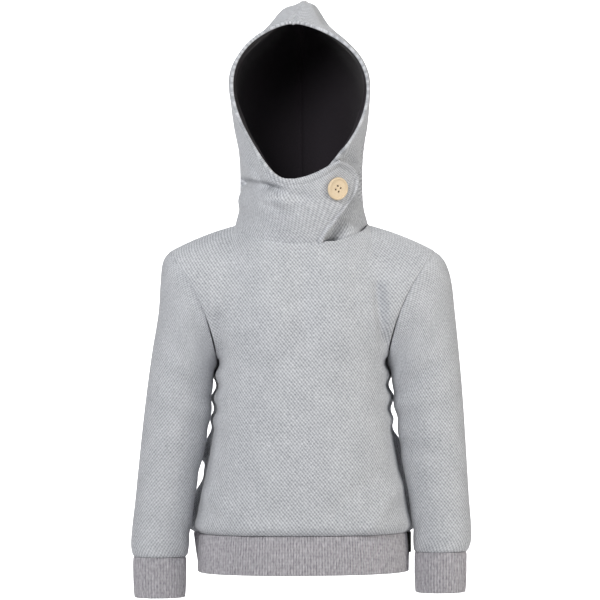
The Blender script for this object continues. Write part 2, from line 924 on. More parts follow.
@dataclass(frozen=True)
class KnitFinish:
    """Soft jersey with a staggered pin-dot stitch, pitches in metres."""

    light: Colour = (0.690, 0.705, 0.735, 1)
    dark: Colour = (0.235, 0.245, 0.272, 1)
    wander: float = 0.0016
    pitch_across: float = 0.0038
    pitch_up: float = 0.0046
    relief: float = 0.00035

    def make(self) -> bpy.types.Material:
        """Makes the material.

        Returns:
            The material.
        """
        shade = Shader("grey_knit", 0.95, Sheen_Weight=0.25, Sheen_Roughness=0.5, Specular_IOR_Level=0.15)
        place, across, up = shade.cloth()
        across = shade.math("MULTIPLY_ADD", shade.noise(place, 190.0), self.wander, across)
        turned = shade.stretched(place, (-1.0, 1.0, 1.0))
        up = shade.math("MULTIPLY_ADD", shade.noise(turned, 160.0), self.wander, up)
        turns = [shade.math("MULTIPLY", across, 2 * math.pi / self.pitch_across),
                 shade.math("MULTIPLY", up, 2 * math.pi / self.pitch_up)]
        rising = shade.math("COSINE", shade.math("ADD", *turns))
        falling = shade.math("COSINE", shade.math("SUBTRACT", *turns))
        both = shade.math("MULTIPLY_ADD", rising, 1.3, shade.math("MULTIPLY", falling, 0.7))
        dots = shade.math("MULTIPLY_ADD", both, 0.25, 0.5)
        fibre = shade.noise(place, 900.0, 3.0)
        cloud = shade.noise(place, 38.0, 2.0)
        fleck = shade.noise(shade.stretched(place, (0.55, 1.0, 1.0)), 420.0, 2.0)
        height = shade.math("MULTIPLY_ADD", fibre, 0.35, shade.math("MULTIPLY", dots, 0.65))
        tone = shade.math("MULTIPLY_ADD", shade.math("SUBTRACT", cloud, 0.5), 0.3, height)
        tone = shade.math("MULTIPLY_ADD", shade.math("SUBTRACT", fleck, 0.5), 0.7, tone)
        shade.paint(shade.mix(tone, self.dark, self.light))
        shade.bump(height, self.relief)
        return shade.material


@dataclass(frozen=True)
class RibFinish:
    """Melange ribbing, with pale and dark fibres drawn along its ribs."""

    light: Colour = (0.565, 0.55, 0.58, 1)
    dark: Colour = (0.225, 0.215, 0.24, 1)
    pitch: float = 0.00315
    row_pitch: float = 0.0016
    relief: float = 0.0003

    def make(self) -> bpy.types.Material:
        """Makes the material.

        Returns:
            The material.
        """
        shade = Shader("grey_rib", 0.96, Sheen_Weight=0.2, Sheen_Roughness=0.5, Specular_IOR_Level=0.12)
        place, across, up = shade.cloth()
        flecks = shade.noise(shade.stretched(place, (1.0, 0.3, 1.0)), 900.0, 3.0)
        rows = shade.math("SINE", shade.math("MULTIPLY", up, 2 * math.pi / self.row_pitch))
        height = shade.math("MULTIPLY_ADD", rows, 0.12, flecks)
        crests = shade.math("COSINE", shade.math("MULTIPLY", across, 2 * math.pi / self.pitch))
        drawn = shade.noise(shade.stretched(place, (1.0, 0.35, 1.0)), 480.0, 2.0)
        tone = shade.math("MULTIPLY_ADD", crests, 0.1, height)
        tone = shade.math("MULTIPLY_ADD", shade.math("SUBTRACT", drawn, 0.5), 1.5, tone)
        shade.paint(shade.mix(tone, self.dark, self.light))
        shade.bump(height, self.relief)
        return shade.material


@dataclass(frozen=True)
class LiningFinish:
    """Smooth dark jersey with fine upright wales."""

    light: Colour = (0.034, 0.029, 0.035, 1)
    dark: Colour = (0.016, 0.0135, 0.0165, 1)
    wale_pitch: float = 0.0014

    def make(self) -> bpy.types.Material:
        """Makes the material.

        Returns:
            The material.
        """
        shade = Shader("dark_lining", 0.9, Sheen_Weight=0.12, Sheen_Roughness=0.4, Specular_IOR_Level=0.12)
        place, across, _ = shade.cloth()
        wales = shade.math("SINE", shade.math("MULTIPLY", across, 2 * math.pi / self.wale_pitch))
        fibre = shade.noise(place, 900.0)
        height = shade.math("MULTIPLY_ADD", wales, 0.25, fibre)
        shade.paint(shade.mix(height, self.dark, self.light))
        shade.bump(height, 0.0002)
        return shade.material


@dataclass(frozen=True)
class TapeFinish:
    """Black woven tape."""

    colour: Colour = (0.009, 0.009, 0.010, 1)

    def make(self) -> bpy.types.Material:
        """Makes the material.

        Returns:
            The material.
        """
        shade = Shader("black_tape", 0.75, Specular_IOR_Level=0.3)
        place = shade.inside()
        weave = shade.noise(shade.stretched(place, (1.0, 1.0, 3.0)), 1500.0)
        shade.paint(self.colour)
        shade.bump(weave, 0.0001)
        return shade.material


@dataclass(frozen=True)
class WoodFinish:
    """Fine pale wood, sanded and waxed."""

    light: Colour = (0.82, 0.68, 0.49, 1)
    dark: Colour = (0.62, 0.48, 0.31, 1)

    def make(self) -> bpy.types.Material:
        """Makes the material.

        Returns:
            The material.
        """
        shade = Shader("pale_wood", 0.55, Specular_IOR_Level=0.35)
        place = shade.inside()
        grain = shade.noise(shade.stretched(place, (1.0, 6.0, 6.0)), 260.0, 4.0)
        pores = shade.noise(shade.stretched(place, (1.0, 3.0, 3.0)), 1400.0, 2.0)
        tone = shade.math("MULTIPLY_ADD", pores, 0.3, shade.math("MULTIPLY", grain, 0.7))
        shade.paint(shade.mix(tone, self.dark, self.light))
        shade.bump(tone, 0.00008)
        return shade.material


@dataclass(frozen=True)
class ThreadFinish:
    """Matt sewing thread."""

    name: str
    colour: Colour

    def make(self) -> bpy.types.Material:
        """Makes the material.

        Returns:
            The material.
        """
        shade = Shader(self.name, 0.85, Specular_IOR_Level=0.2)
        shade.paint(self.colour)
        return shade.material


class Finishes:
    """All of the finishes, each made once."""

    def __init__(self) -> None:
        """Makes the finishes."""
        self.slots = {
            Slot.KNIT: KnitFinish().make(),
            Slot.RIB: RibFinish().make(),
            Slot.LINING: LiningFinish().make(),
            Slot.TAPE: TapeFinish().make(),
            Slot.WOOD: WoodFinish().make(),
        }
        self.thread = ThreadFinish("grey_thread", (0.37, 0.378, 0.405, 1)).make()
        self.dark_thread = ThreadFinish("dark_thread", (0.03, 0.026, 0.024, 1)).make()

    def dress(self, thing: bpy.types.Object, slot: Slot, node: str = "",
              material: bpy.types.Material | None = None) -> None:
        """Gives a piece its finish and its place in the model.

        Args:
            thing: The piece.
            slot: The record's slot.
            node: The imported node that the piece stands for, if there is one.
            material: A finish other than the slot's own.
        """
        thing.data.materials.append(material or self.slots[slot])
        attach(thing, BODY)
        if node:
            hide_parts(node)
        LOG.info("%s: %d faces", thing.name, len(thing.data.polygons))


def hang(thing: bpy.types.Object, sheet: Sheet) -> None:
    """Declares a cloth piece, with the flat cut of the cloth that shows.

    Args:
        thing: The piece.
        sheet: The sheet that it was made from.
    """
    width, length, area = sheet.cut()
    LOG.info("%s: cut %.0f x %.0f mm, %.0f cm2", thing.name, width, length, area / 100)


@dataclass(frozen=True)
class BodyPanels:
    """Front and back of the body, from the hem seam to the neck and shoulder seams."""

    rows_below: int = 78
    rows_above: int = 66
    columns: int = 130
    ripple_height: float = 2.2
    ripple_pitch: float = 25.0
    ripple_top: float = -132.0
    ripple_bottom: float = -232.0
    hem_swell: float = 1.6
    front_folds: tuple[Fold, ...] = (
        Fold(83, -62, 90, -118, 6, 7),
        Fold(-92, -96, -89, -128, 6, 4.5),
        Fold(74, -318, 101, -282, 9, -3),
        Fold(-60, -316, -98, -290, 10, -2.5),
        Fold(40, -300, 84, -262, 10, 2),
    )
    back_folds: tuple[Fold, ...] = (
        Fold(-84, -60, -90, -118, 7, 4),
        Fold(86, -72, 90, -122, 7, 3.5),
        Fold(-30, -262, 52, -268, 12, 3.5),
        Fold(-64, -300, 8, -294, 10, 2.5),
    )

    def sheet(self, face: Face) -> Sheet:
        """Shapes one panel.

        Args:
            face: Front or back.

        Returns:
            Its outer face.
        """
        front = face is Face.FRONT
        u = 2 * edge_spaced(self.columns, 300) - 1
        below = HEM_Z + (ARMPIT_Z - HEM_Z) * edge_spaced(self.rows_below, 190)[:-6]
        above = edge_spaced(self.rows_above, 120)
        above = above[(above == 0) | (above > 0.015)]
        turn = u * math.pi / 2 if front else math.pi - u * math.pi / 2
        low = lower_body(turn[None, :], below[:, None])
        wide, rise = np.meshgrid(np.abs(u), above)
        high = upper_body(face, wide, rise)
        high[..., 0] *= np.sign(u)
        sheet = Sheet(np.concatenate([low, high]))
        sheet.lay_level()
        if not front:
            sheet.flip()
        else:
            angle = math.pi * u
            step = FLAP_STEP * smooth(*FLAP_ONTO, angle) * smooth(0.5, 0.28, angle)
            sheet.push(step * np.concatenate([0 * below, smooth(0.8, 1, above)])[:, None])
        x, z = sheet.points[..., 0], sheet.points[..., 2]
        wave = np.cos(2 * math.pi * (z - self.ripple_top) / self.ripple_pitch)
        wave *= smooth(self.ripple_top + 6, self.ripple_top - 14, z)
        wave *= smooth(self.ripple_bottom, self.ripple_bottom + 30, z) * smooth(0.55, 1, np.abs(u))
        folds = self.front_folds if front else self.back_folds
        sheet.push(self.ripple_height * wave - fold_depth(folds, x, z) * smooth(1, 0.93, np.abs(u)))
        self.part_seams(sheet, u, len(below), front)
        sheet.refresh()
        if not front:
            sheet.flip()
        hem, top, left, right = sheet.to_edges()
        neck = np.abs(u) < NECK_SHARE
        sheet.push(self.hem_swell * np.exp(-(((hem - 9) / 8) ** 2)))
        armhole = np.concatenate([np.full(len(below), 0.9), 0.9 - 0.2 * smooth(0, 0.1, above)])[:, None]
        sheet.roll(hem, 1.2).roll(left, armhole, 1.8).roll(right, armhole, 1.8)
        return sheet.roll(top, np.where(neck, 0.1, 0.8)[None, :], 1.3)

    def part_seams(self, sheet: Sheet, u: Array, below: int, front: bool) -> None:
        """Draws the panel's edges back by half a seam.

        Args:
            sheet: The panel.
            u: Its columns, from -1 to 1.
            below: How many of its rows lie below the armpit.
            front: Whether it is the front panel.
        """
        points = sheet.points
        side = np.abs(u) > 0.9999
        away = (-1 if front else 1) * SEAM / 2
        points[:below + 1, side, 1] += away
        points[-1, np.abs(u) >= NECK_SHARE, 1] += away
        shift = stack(np.sign(u[side]) * ARMHOLE_AXIS[0], 0.0, ARMHOLE_AXIS[2]) * SEAM / 2
        points[below + 1:, side] -= shift
        neck = np.abs(u) < NECK_SHARE
        points[-1, neck] += unit(points[-1, neck] * np.array([1, 1, 0])) * SEAM / 3

    def build(self, finishes: Finishes) -> None:
        """Builds and dresses both panels.

        Args:
            finishes: All of the finishes.
        """
        for face in Face:
            sheet = self.sheet(face)
            thing = shell_mesh(f"body_{face.value}_cloth", sheet, CLOTH)
            finishes.dress(thing, Slot.KNIT, f"body_{face.value}")
            hang(thing, sheet)


@dataclass(frozen=True)
class Sleeves:
    """Both sleeves, from the armhole to the cuff seam."""

    rows: int = 120
    columns: int = 132
    left_folds: tuple[Fold, ...] = (
        Fold(104, -176, 138, -150, 8, 3.0),
        Fold(106, -204, 150, -196, 9, 2.4),
        Fold(112, -236, 146, -246, 9, 1.8),
        Fold(122, -326, 158, -318, 8, 1.6),
    )
    right_folds: tuple[Fold, ...] = (
        Fold(104, -180, 134, -158, 8, 2.6),
        Fold(108, -214, 142, -200, 9, 2.2),
        Fold(118, -262, 150, -254, 10, 1.8),
        Fold(128, -330, 160, -322, 8, 1.6),
    )

    def sheet(self, arm: Arm) -> Sheet:
        """Shapes one sleeve.

        Args:
            arm: The wearer's arm.

        Returns:
            Its outer face.
        """
        s = edge_spaced(self.rows, 330)
        turn = math.pi + np.arange(self.columns) * 2 * math.pi / self.columns
        points = sleeve_point(turn[None, :], s[:, None], arm)
        points[0] += ARMHOLE_AXIS * SEAM / 2
        sheet = Sheet(points, closed=True)
        folds = self.left_folds if arm is Arm.LEFT else self.right_folds
        x, z = sheet.points[..., 0], sheet.points[..., 2]
        sheet.push(-fold_depth(folds, x, z) * smooth(0.02, 0.12, s)[:, None])
        sheet.refresh()
        armhole, seam, _, _ = sheet.to_edges()
        sheet.roll(armhole, 0.9, 2.0).roll(seam, 1.2)
        if arm is Arm.RIGHT:
            sheet.mirror()
        return sheet

    def build(self, finishes: Finishes) -> None:
        """Builds and dresses both sleeves.

        Args:
            finishes: All of the finishes.
        """
        for arm in Arm:
            sheet = self.sheet(arm)
            name = arm.name.lower()
            thing = shell_mesh(f"sleeve_{name}_cloth", sheet, CLOTH)
            finishes.dress(thing, Slot.KNIT, f"sleeve_{name}")
            hang(thing, sheet)


@dataclass(frozen=True)
class Hood:
    """The crossover hood: its two halves, their dark lining and the topstitching."""

    rows: int = 110
    side_columns: int = 96
    flap_columns: int = 34
    stitch_inset: float = 7.5
    stitch_start: float = 5.0
    stitch_length: float = 2.3
    stitch_gap: float = 0.9
    stitch_radius: float = 0.24
    stitch_sink: float = 0.7
    pucker: float = 0.08
    edge_swell: float = 1.8
    edge_fold: float = 1.4
    lining_steps: int = 72
    lining_start: float = 0.007
    lining_share: float = 0.984
    lining_ease: float = 0.9
    lining_lap: float = 0.9
    peak_room: float = 6.0
    lining_ripple: float = 15.0
    lining_wave: float = 1.7
    right_folds: tuple[Fold, ...] = (
        Fold(-68, 55, -38, 47, 4, 7),
        Fold(-38, 47, -28, 45, 4.5, 8),
        Fold(-26, 43, 2, 37, 5, 2.5),
        Fold(-52, 66, -44, 54, 5, 3.5),
        Fold(-33, 37, -20, 33, 7, -5),
        Fold(-66, 34, -40, 24, 9, -3),
    )
    left_folds: tuple[Fold, ...] = (
        Fold(-26, 43, 2, 37, 5, 3.5),
        Fold(57, 36, 34, -10, 7.5, 11),
        Fold(62, 38, 66, 56, 4, 6),
        Fold(66, 58, 60, 71, 3.5, 5),
        Fold(60, 71, 50, 79, 3.5, 3),
        Fold(68, 96, 71, 60, 4, 3),
        Fold(58, 14, 72, 0, 5, 4),
        Fold(17, 246, 27, 228, 3, 2.5),
    )

    def sheet(self, angles: Array, t: Array, lift: Array, normal_side: int) -> Sheet:
        """Shapes a stretch of the hood.

        Args:
            angles: Angles round the hood, from the crown seam on.
            t: Heights on the hood, from the neck seam at 0 to its front edge at 1.
            lift: How far each point stands off the hood's own form.
            normal_side: 1 where the angles grow from column to column, or -1.

        Returns:
            The stretch's outer face.
        """
        sheet = Sheet(hood_point(angles, t))
        sheet.normals *= normal_side
        x, y, z = np.moveaxis(sheet.points, -1, 0)
        folds = self.right_folds if normal_side > 0 else self.left_folds
        sheet.push(lift - np.where(y < 0, fold_depth(folds, x, z), 0.0))
        sheet.points[:, 0, 0] += np.sign(angles[:, 0]) * SEAM / 6
        sheet.points[0, :, 2] += SEAM / 3
        sheet.refresh()
        sheet.normals *= normal_side
        return sheet

    def over(self) -> Sheet:
        """Shapes the half that crosses over, round the wearer's right to the flap's free edge.

        Returns:
            Its outer face.
        """
        t = edge_spaced(self.rows, 260)
        side = -math.pi * (1 - edge_spaced(self.side_columns, 190)[:-5])
        flap = flap_angle(t)[:, None] * edge_spaced(self.flap_columns, 60)[None, 6:]
        angles = np.concatenate([np.broadcast_to(side, (len(t), len(side))), flap], axis=1)
        rows = np.broadcast_to(t[:, None], angles.shape)
        sheet = self.sheet(angles, rows, flap_lift(angles, rows), 1)
        neck, front, crown, free = sheet.to_edges()
        sheet.roll(neck, 0.2, 1.2).roll(crown, 1.0, 1.6)
        self.topstitch(sheet, np.minimum(front, free))
        sheet.push(self.edge_swell * smooth(self.stitch_inset, 1.5, free))
        return sheet.roll(free, 0.7, 1.0).roll(front, 0.6, 1.0)

    def under(self) -> Sheet:
        """Shapes the half that lies under the flap, round the wearer's left and past the chin.

        Returns:
            Its outer face.
        """
        t = edge_spaced(self.rows, 260)
        side = math.pi * (1 - edge_spaced(self.side_columns, 200) * (1 + 1 / 14))
        angles = np.broadcast_to(side, (len(t), len(side)))
        rows = self.lowered(angles, t[:, None])
        sheet = self.sheet(angles, rows, np.zeros_like(rows), -1)
        neck, front, crown, _ = sheet.to_edges()
        sheet.roll(neck).roll(crown, 1.0, 1.6)
        self.topstitch(sheet, front)
        return sheet.roll(front, 0.6, 1.0)

    def topstitch(self, sheet: Sheet, edge: Array) -> None:
        """Draws the cloth in along the topstitching and puckers the band outside it.

        Args:
            sheet: A half of the hood.
            edge: Each point's distance to the sewn edge.
        """
        x, y, z = np.moveaxis(sheet.points, -1, 0)
        pucker = np.sin((x + z) * 1.05 + y * 0.9) * np.exp(-(((edge - self.stitch_inset) / 4.5) ** 2))
        sheet.push(self.pucker * pucker)
        sheet.roll(edge - self.stitch_inset, self.stitch_sink, 1.5)

    @staticmethod
    def lowered(angles: Array, t: Array) -> Array:
        """Gives the heights of the half under the flap, whose front edge is lower at the chin."""
        return t * (1 - UNDERLAP_DROP * smooth(0.8, 0.3, angles))

    def lining(self, side: int) -> Sheet:
        """Shapes half of the lining, inside the hood.

        Args:
            side: 1 for the wearer's left, -1 for the right.

        Returns:
            Its outer face, against the hood.
        """
        t = self.lining_start + self.lining_share * edge_spaced(self.lining_steps, 255)
        across = side * math.pi * (1 - edge_spaced(self.lining_steps, 190))
        angles = np.broadcast_to(across, (len(t), len(across)))
        rows = self.lowered(np.abs(angles), t[:, None])
        sheet = self.sheet(angles, rows, np.full_like(rows, -self.lining_ease), -side)
        sheet.push(np.full(rows.shape, -(CLOTH + SEAM)))
        sheet.points[:, -1, 0] += side * self.lining_lap
        _, front, crown, _ = sheet.to_edges()
        ridge = sheet.points[:, [0], 0]
        near = np.exp(-((crown / 8) ** 2)) * smooth(4, 25, front)
        sheet.points[..., 2] -= self.peak_room * near * smooth(200, 235, sheet.points[..., 2])
        beside = np.maximum(side * (sheet.points[..., 0] - ridge), 0.05 * crown)
        sheet.points[..., 0] = np.where(crown < 20, ridge + side * beside, sheet.points[..., 0])
        wave = np.cos(2 * math.pi * (front - 6) / self.lining_ripple) * np.exp(-((front - 20) / 26) ** 2)
        wave = wave * smooth(0.9, 1.3, np.abs(angles)) * smooth(2.7, 2.2, np.abs(angles))
        sheet.push(self.lining_wave * (wave - 1) * smooth(2, 8, front))
        return sheet.roll(crown, 1.5, 2.0)

    def stitch_path(self, sheet: Sheet, flap: bool) -> tuple[Array, Array]:
        """Gives the line of the topstitching.

        Args:
            sheet: A half of the hood.
            flap: Whether the line turns down the flap's free edge.

        Returns:
            Its points and normals, from the crown seam on.
        """
        _, front, crown, free = sheet.to_edges()
        places: list[Array] = []
        ways: list[Array] = []
        rows = np.arange(len(sheet.points))
        for j in range(2, sheet.points.shape[1] - 1):
            row = float(np.interp(-self.stitch_inset, -front[:, j], rows))
            low = min(int(row), len(rows) - 2)
            part = row - low
            if flap and free[low, j] < self.stitch_inset:
                break
            if crown[low, j] < self.stitch_start:
                continue
            places.append(sheet.points[low, j] * (1 - part) + sheet.points[low + 1, j] * part)
            ways.append(sheet.normals[low, j])
        columns = np.arange(sheet.points.shape[1])
        for i in rows[::-1] if flap else []:
            column = float(np.interp(-self.stitch_inset, -free[i], columns))
            low = min(int(column), len(columns) - 2)
            part = column - low
            if front[i, low] > self.stitch_inset and i > 2:
                places.append(sheet.points[i, low] * (1 - part) + sheet.points[i, low + 1] * part)
                ways.append(sheet.normals[i, low])
        return np.array(places), np.array(ways)

    def stitches(self, name: str, path: tuple[Array, Array]) -> bpy.types.Object:
        """Sews evenly spaced stitches along a line.

        Args:
            name: The object's name.
            path: The line's points and normals.

        Returns:
            The new object.
        """
        places, ways = path
        run = np.concatenate([[0.0], np.cumsum(np.linalg.norm(np.diff(places, axis=0), axis=1))])
        pitch = self.stitch_length + self.stitch_gap
        parts = []
        for start in np.arange(1.0, run[-1] - pitch, pitch):
            ends = [np.array([np.interp(at, run, places[:, k]) for k in range(3)])
                    for at in (start, start + self.stitch_length)]
            normal = unit(np.array([np.interp(start, run, ways[:, k]) for k in range(3)]))
            parts.append(stitch_part(ends[0], ends[1], normal, self.stitch_radius))
        return join_meshes(name, parts)

    def build(self, finishes: Finishes) -> None:
        """Builds and dresses the hood.

        Args:
            finishes: All of the finishes.
        """
        for name, sheet in (("over", self.over()), ("under", self.under())):
            _, front, _, free = sheet.to_edges()
            edge = np.minimum(front, free) if name == "over" else front
            thick = CLOTH + self.edge_fold * smooth(4.0, 1.0, edge)
            path = self.stitch_path(sheet, name == "over")
            thing = shell_mesh(f"hood_{name}_cloth", sheet, thick)
            finishes.dress(thing, Slot.KNIT, f"hood_{name}")
            sewing = self.stitches(f"hood_{name}_stitches", path)
            finishes.dress(sewing, Slot.KNIT, material=finishes.thread)
            hang(thing, sheet)
        for name, side in (("left", 1), ("right", -1)):
            sheet = self.lining(side)
            thing = shell_mesh(f"lining_{name}_cloth", sheet, LINING_CLOTH)
            finishes.dress(thing, Slot.LINING, f"hood_lining_{name}")
            hang(thing, sheet)


@dataclass(frozen=True)
class Ribbing:
    """Ribbed hem band and cuffs."""

    pitch: float = 3.15
    height: float = 0.75
    steps_a_rib: int = 8
    rows: int = 20
    hem_bulge: float = 0.8
    crest_power: float = 0.8
    crest_gain: float = 1.35
    crest_base: float = 0.8

    def strip(self, top: Callable[[Array], Array], bottom: Callable[[Array], Array],
              start: float, stop: float, closed: bool) -> Sheet:
        """Shapes a ribbed strip between two level curves.

        Args:
            top: The upper curve's points at given turns.
            bottom: The lower curve's points at given turns.
            start: The first turn.
            stop: The last turn.
            closed: Whether the strip is a tube.

        Returns:
            Its outer face.
        """
        fine = np.linspace(start, stop, 4001)
        lengths = [np.concatenate([[0.0], np.cumsum(np.linalg.norm(np.diff(curve(fine), axis=0), axis=1))])
                   for curve in (bottom, top)]
        ribs = 4 * round(lengths[0][-1] / self.pitch / 4)
        steps = ribs * self.steps_a_rib
        shares = np.arange(steps if closed else steps + 1) / steps
        low, high = (curve(np.interp(shares * length[-1], length, fine))
                     for curve, length in zip((bottom, top), lengths))
        part = edge_spaced(self.rows, BAND_HEIGHT)[:, None, None]
        sheet = Sheet(low + (high - low) * part, closed)
        if np.sum(sheet.normals * (sheet.points - sheet.points.mean(axis=(0, 1)))) < 0:
            sheet.flip()
        sheet.cloth = np.stack(np.broadcast_arrays(shares * ribs * self.pitch, sheet.cloth[..., 1]), axis=-1)
        up = part[..., 0]
        crest = np.abs(np.cos(math.pi * ribs * shares)) ** self.crest_power
        crest = crest * self.crest_gain - self.crest_base
        swell = self.hem_bulge * np.sin(math.pi * up) ** 0.7
        wobble = 0.12 * np.sin(shares * 61 + up * 5) + 0.10 * np.sin(shares * 173 - up * 9)
        sheet.push(self.height * crest[None, :] + swell + wobble)
        _, seam, _, _ = sheet.to_edges()
        return sheet.roll(seam, 0.7, 1.4)

    def band(self, face: Face) -> Sheet:
        """Shapes the front or back half of the hem band.

        Args:
            face: Front or back.

        Returns:
            Its outer face.
        """
        front = face is Face.FRONT

        def ring(z: float, level: float) -> Callable[[Array], Array]:
            """Gives the band's curve at one height.

            Args:
                z: The height that its section is read at.
                level: The height that it is placed at.

            Returns:
                A function from turns to points.
            """
            def at(turn: Array) -> Array:
                """Gives the curve's points at given turns."""
                x, y = body_ring(turn, z, *(BAND_LINE.read(name, z) for name in ("half", "front", "back")))
                return stack(x, y + (-1 if front else 1) * SEAM / 2, level)
            return at

        start = -math.pi / 2 if front else math.pi / 2
        top, bottom = ring(-330, HEM_Z - SEAM), ring(-372, HEM_Z - BAND_HEIGHT)
        return self.strip(top, bottom, start, start + math.pi, False)

    def cuff(self, arm: Arm) -> Sheet:
        """Shapes one cuff.

        Args:
            arm: The wearer's arm.

        Returns:
            Its outer face.
        """
        name = arm.name.lower()

        def ring(z: float, drop: float) -> Callable[[Array], Array]:
            """Gives the cuff's curve at one height.

            Args:
                z: The height that its section is read at.
                drop: How much lower it is placed.

            Returns:
                A function from turns to points.
            """
            def at(turn: Array) -> Array:
                """Gives the curve's points.

                Args:
                    turn: Turns, with 0 at the front.

                Returns:
                    The points there.
                """
                out, inner = CUFF_LINE.read(f"out_{name}", z), CUFF_LINE.read(f"in_{name}", z)
                x = arm.value * (out + inner) / 2 + (out - inner) / 2 * np.sin(turn)
                y = CUFF_LINE.read("mid_y", z) - CUFF_LINE.read("depth", z) * np.cos(turn)
                return stack(x, y, z - ARM_DROP[arm] - drop)
            return at

        return self.strip(ring(-353, SEAM), ring(-397, 0), math.pi, 3 * math.pi, True)

    def build(self, finishes: Finishes) -> None:
        """Builds and dresses the ribbing.

        Args:
            finishes: All of the finishes.
        """
        sheets = {f"hem_band_{face.value}": self.band(face) for face in Face}
        sheets |= {f"cuff_{arm.name.lower()}": self.cuff(arm) for arm in Arm}
        for node, sheet in sheets.items():
            thing = shell_mesh(f"{node}_ribs", sheet, RIB_CLOTH, 0.7)
            finishes.dress(thing, Slot.RIB, node)
            hang(thing, sheet)


@dataclass(frozen=True)
class Button:
    """A wooden button with a raised rim and four holes, sewn to the flap."""

    x: float = 38.5
    z: float = 46.0
    radius: float = 12.5
    thickness: float = 3.6
    rim: float = 2.2
    dish: float = 1.1
    shank: float = 1.0
    hole_radius: float = 1.15
    hole_place: float = 2.3
    drill_depth: float = 0.02

    def seat(self) -> tuple[Array, Array]:
        """Gives the middle of the button's back and the way that it faces.

        Returns:
            The place and the normal.
        """
        angle, t = np.meshgrid(np.linspace(0.1, 1.1, 61), np.linspace(0.4, 0.9, 61))
        points = flap_point(angle, t)
        miss = np.hypot(points[..., 0] - self.x, points[..., 2] - self.z)
        best = np.unravel_index(np.argmin(miss), miss.shape)
        angle, t = angle[best], t[best]
        across = flap_point(angle + 0.15, t) - flap_point(angle - 0.15, t)
        up = flap_point(angle, t + 0.06) - flap_point(angle, t - 0.06)
        normal = unit(np.cross(across, up))
        return points[best] + normal * self.shank, normal

    def disc(self) -> bpy.types.Object:
        """Turns the button's body, lying on its back at the origin.

        Returns:
            The new object.
        """
        r, h = self.radius, self.thickness
        lip, floor = r - self.rim, h - self.dish
        profile = [(0, 0), (r - 1.4, 0), (r - 0.8, 0.12), (r - 0.3, 0.5), (r, 1.3), (r, 2.0),
                   (r - 0.25, h - 0.7), (r - 0.7, h - 0.2), (r - 1.2, h), (r - 1.8, h), (lip, h - 0.12),
                   (lip - 0.6, floor + 0.1), (lip - 1.1, floor), (0, floor)]
        sides = 96
        turn = np.arange(sides) * 2 * math.pi / sides
        rings = [stack(radius * np.cos(turn), radius * np.sin(turn), height)
                 for radius, height in profile[1:-1]]
        points = np.concatenate([*rings, [[0, 0, 0], [0, 0, floor]]])
        index = np.arange(len(rings) * sides).reshape(len(rings), sides)
        faces = grid_quads(index, True).tolist()
        last = len(rings) * sides
        faces += [[last, int(index[0, (j + 1) % sides]), int(index[0, j])] for j in range(sides)]
        faces += [[last + 1, int(index[-1, j]), int(index[-1, (j + 1) % sides])] for j in range(sides)]
        return mesh_object("wood_button", points, faces)

    def drill(self, disc: bpy.types.Object) -> None:
        """Cuts the four holes through the button.

        Args:
            disc: The button's body.
        """
        for x in (-1, 1):
            for y in (-1, 1):
                place = (x * self.hole_place * MM, y * self.hole_place * MM, 0)
                bpy.ops.mesh.primitive_cylinder_add(vertices=32, radius=self.hole_radius * MM,
                                                    depth=self.drill_depth, location=place)
                hole = bpy.context.object
                cut = disc.modifiers.new("hole", "BOOLEAN")
                cut.operation, cut.solver, cut.object = "DIFFERENCE", "EXACT", hole
                bpy.context.view_layer.objects.active = disc
                bpy.ops.object.modifier_apply(modifier=cut.name)
                bpy.data.objects.remove(hole, do_unlink=True)

    def threads(self) -> bpy.types.Object:
        """Makes the thread that crosses between the holes.

        Returns:
            The new object.
        """
        parts = []
        top = self.thickness - self.dish
        place = self.hole_place
        for sign in (-1, 1):
            for shift in (-0.3, 0.3):
                start = np.array([-place + 0.1, sign * place + shift, top - 0.5])
                stop = np.array([place - 0.1, sign * place + shift, top - 0.5])
                parts.append(stitch_part(start, stop, np.array([0, 0, 1.0]), 0.28))
        angle = np.arange(12) * math.pi / 6
        shank = [stack(1.5 * np.cos(angle), 1.5 * np.sin(angle), z) for z in (-1.6, 0.4)]
        faces = grid_quads(np.arange(24).reshape(2, 12), True).tolist()
        faces += [list(range(12))[::-1], list(range(12, 24))]
        parts.append((np.concatenate(shank), faces))
        return join_meshes("button_thread", parts)

    def build(self, finishes: Finishes) -> None:
        """Builds, places and dresses the button.

        Args:
            finishes: All of the finishes.
        """
        place, normal = self.seat()
        disc = self.disc()
        self.drill(disc)
        thread = self.threads()
        tilt = Vector((0, 0, 1)).rotation_difference(Vector(normal))
        for thing in (disc, thread):
            thing.rotation_mode = "QUATERNION"
            thing.rotation_quaternion = tilt
            thing.location = Vector(place) * MM
        finishes.dress(disc, Slot.WOOD, "button")
        finishes.dress(thread, Slot.WOOD, material=finishes.dark_thread)
        soften(disc, 35)


def soften(thing: bpy.types.Object, degrees: float) -> None:
    """Shades a piece smooth, but for its edges sharper than an angle.

    Args:
        thing: The piece.
        degrees: The angle.
    """
    bpy.ops.object.select_all(action="DESELECT")
    thing.select_set(True)
    bpy.context.view_layer.objects.active = thing
    bpy.ops.object.shade_smooth_by_angle(angle=math.radians(degrees))


